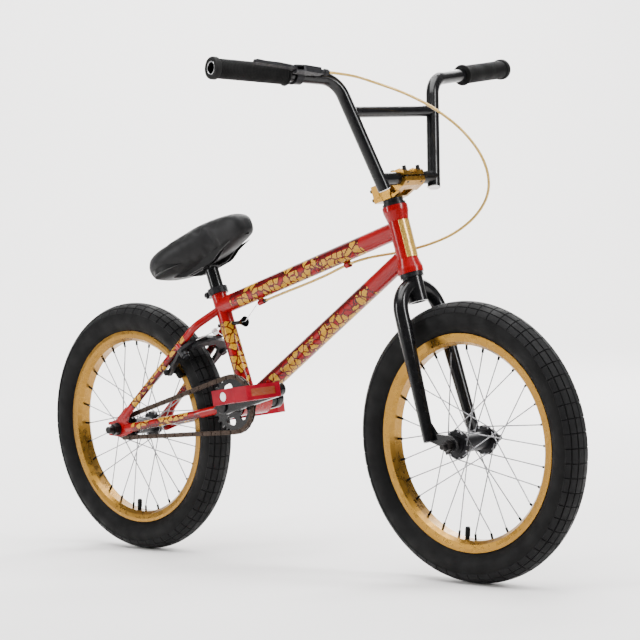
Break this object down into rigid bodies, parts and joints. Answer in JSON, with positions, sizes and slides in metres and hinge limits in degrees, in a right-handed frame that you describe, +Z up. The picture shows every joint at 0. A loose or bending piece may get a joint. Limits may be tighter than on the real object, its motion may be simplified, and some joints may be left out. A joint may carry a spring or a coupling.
{
  "type": "bmx bike",
  "caption": "Small-wheel BMX bicycle with a steel frame, wide tyres, a high handlebar with a crossbar, a rear rim brake, a chain drive and a pivoting saddle.",
  "frame": {"origin": "on the floor midway between the two wheel axles, in the plane of the frame", "axes": "+X forward, +Y to the rider's left, +Z up"},
  "size_m": [1.3028, 0.7372, 0.8901],
  "materials": {
    "red_paint": "gloss",
    "gold_badge": "satin",
    "black_paint": "gloss",
    "black_steel": "satin",
    "gold_anodised": "gloss",
    "black_alloy": "satin",
    "tyre": "matte",
    "tube_rubber": "matte",
    "grip_rubber": "matte",
    "bearing_steel": "satin",
    "chain_steel": "satin",
    "gold_housing": "gloss",
    "wire_steel": "gloss",
    "pedal_red": "gloss",
    "reflector_amber": "gloss",
    "saddle_vinyl": "satin",
    "saddle_plastic": "satin",
    "pad_rubber": "matte"
  },
  "bodies": {
    "frame": {"head_tube": "red_paint", "top_tube": "red_paint", "down_tube": "red_paint", "seat_tube": "red_paint", "bottom_bracket_shell": "red_paint", "seat_stays": "red_paint", "chain_stays": "red_paint", "rear_dropouts": "red_paint", "frame_fittings": "red_paint", "head_badge": "gold_badge", "frame_bearings": "bearing_steel", "wire_guide": "black_paint", "seat_clamp_and_bolts": "black_alloy", "rear_axle": "black_steel", "chain": "chain_steel", "brake_cable": "gold_housing", "brake_wires": "wire_steel"},
    "steering": {"fork_steerer": "black_paint", "fork_legs": "black_paint", "fork_dropouts": "black_paint", "headset_spacers": "black_alloy", "stem_body": "gold_anodised", "stem_cap": "gold_anodised", "stem_bolts": "black_steel", "handlebar_left": "black_paint", "handlebar_right": "black_paint", "handlebar_cross_tubes": "black_paint", "grip_left": "grip_rubber", "grip_right": "grip_rubber", "lever_bracket": "black_alloy", "lever_fittings": "black_alloy", "front_axle": "black_steel"},
    "lever": {"brake_lever": "black_alloy"},
    "front_wheel": {"front_rim": "gold_anodised", "front_tyre": "tyre", "front_inner_tube": "tube_rubber", "front_hub": "black_alloy", "front_spokes": "black_steel"},
    "rear_wheel": {"rear_rim": "gold_anodised", "rear_tyre": "tyre", "rear_inner_tube": "tube_rubber", "rear_hub": "black_alloy", "rear_spokes": "black_steel"},
    "driver": {"driver": "black_steel"},
    "crank": {"crank_spindle": "black_steel", "crank_arm_right": "black_paint", "crank_arm_left": "black_paint", "sprocket": "black_paint", "pedal_axles": "black_steel"},
    "pedal_right": {"pedal_right": "pedal_red", "pedal_reflectors_right": "reflector_amber"},
    "pedal_left": {"pedal_left": "pedal_red", "pedal_reflectors_left": "reflector_amber"},
    "brake_arm_right": {"brake_arm_right": "black_alloy", "brake_pad_right": "pad_rubber"},
    "brake_arm_left": {"brake_arm_left": "black_alloy", "brake_pad_left": "pad_rubber"},
    "seat_post": {"seat_post": "black_paint"},
    "saddle": {"saddle_base": "saddle_plastic", "saddle_pad": "saddle_vinyl"}
  },
  "joints": [
    {"name": "steering_turn", "type": "hinge", "parent": "frame", "child": "steering", "pos_m": [0.28512, 0, 0.5744], "axis": [-0.2588, 0, 0.9659], "range_deg": [-60, 60], "deforming": ["brake_cable"]},
    {"name": "front_wheel_spin", "type": "hinge", "parent": "steering", "child": "front_wheel", "pos_m": [0.415, 0, 0.2365], "axis": [0, 1, 0], "continuous": true},
    {"name": "rear_wheel_spin", "type": "hinge", "parent": "frame", "child": "rear_wheel", "pos_m": [-0.415, 0, 0.2365], "axis": [0, 1, 0], "continuous": true},
    {"name": "crank_spin", "type": "hinge", "parent": "frame", "child": "crank", "pos_m": [-0.1102, 0, 0.29], "axis": [0, 1, 0], "continuous": true},
    {"name": "driver_spin", "type": "hinge", "parent": "frame", "child": "driver", "pos_m": [-0.415, 0, 0.2365], "axis": [0, 1, 0], "continuous": true},
    {"name": "pedal_right_spin", "type": "hinge", "parent": "crank", "child": "pedal_right", "pos_m": [0.03108, -0.09, 0.32262], "axis": [0, 1, 0], "continuous": true},
    {"name": "pedal_left_spin", "type": "hinge", "parent": "crank", "child": "pedal_left", "pos_m": [-0.25148, 0.09, 0.25738], "axis": [0, 1, 0], "continuous": true},
    {"name": "brake_lever_pull", "type": "hinge", "parent": "steering", "child": "lever", "pos_m": [0.2654, -0.21957, 0.86638], "axis": [0.3385, -0.1422, -0.9301], "range_deg": [0, 8], "stiffness_Nm_per_rad": 2, "springref_deg": -11.46},
    {"name": "brake_arm_right_swing", "type": "hinge", "parent": "frame", "child": "brake_arm_right", "pos_m": [-0.23266, -0.0475, 0.38394], "axis": [0.6866, 0, -0.7271], "range_deg": [0, 1.8], "deforming": ["brake_wires"]},
    {"name": "brake_arm_left_swing", "type": "hinge", "parent": "frame", "child": "brake_arm_left", "pos_m": [-0.23266, 0.0475, 0.38394], "axis": [-0.6866, 0, 0.7271], "range_deg": [0, 1.8]},
    {"name": "seat_height", "type": "slide", "parent": "frame", "child": "seat_post", "axis": [-0.3256, 0, 0.9455], "range_m": [-0.004, 0.02]},
    {"name": "saddle_tilt", "type": "hinge", "parent": "seat_post", "child": "saddle", "pos_m": [-0.1968, 0, 0.54151], "axis": [0, 1, 0], "range_deg": [-10, 10]}
  ],
  "couplings": [
    {"joint": "driver_spin", "follows": "crank_spin", "ratio": 2.7778},
    {"joint": "brake_arm_right_swing", "follows": "brake_lever_pull", "ratio": 0.225},
    {"joint": "brake_arm_left_swing", "follows": "brake_lever_pull", "ratio": 0.225}
  ]
}
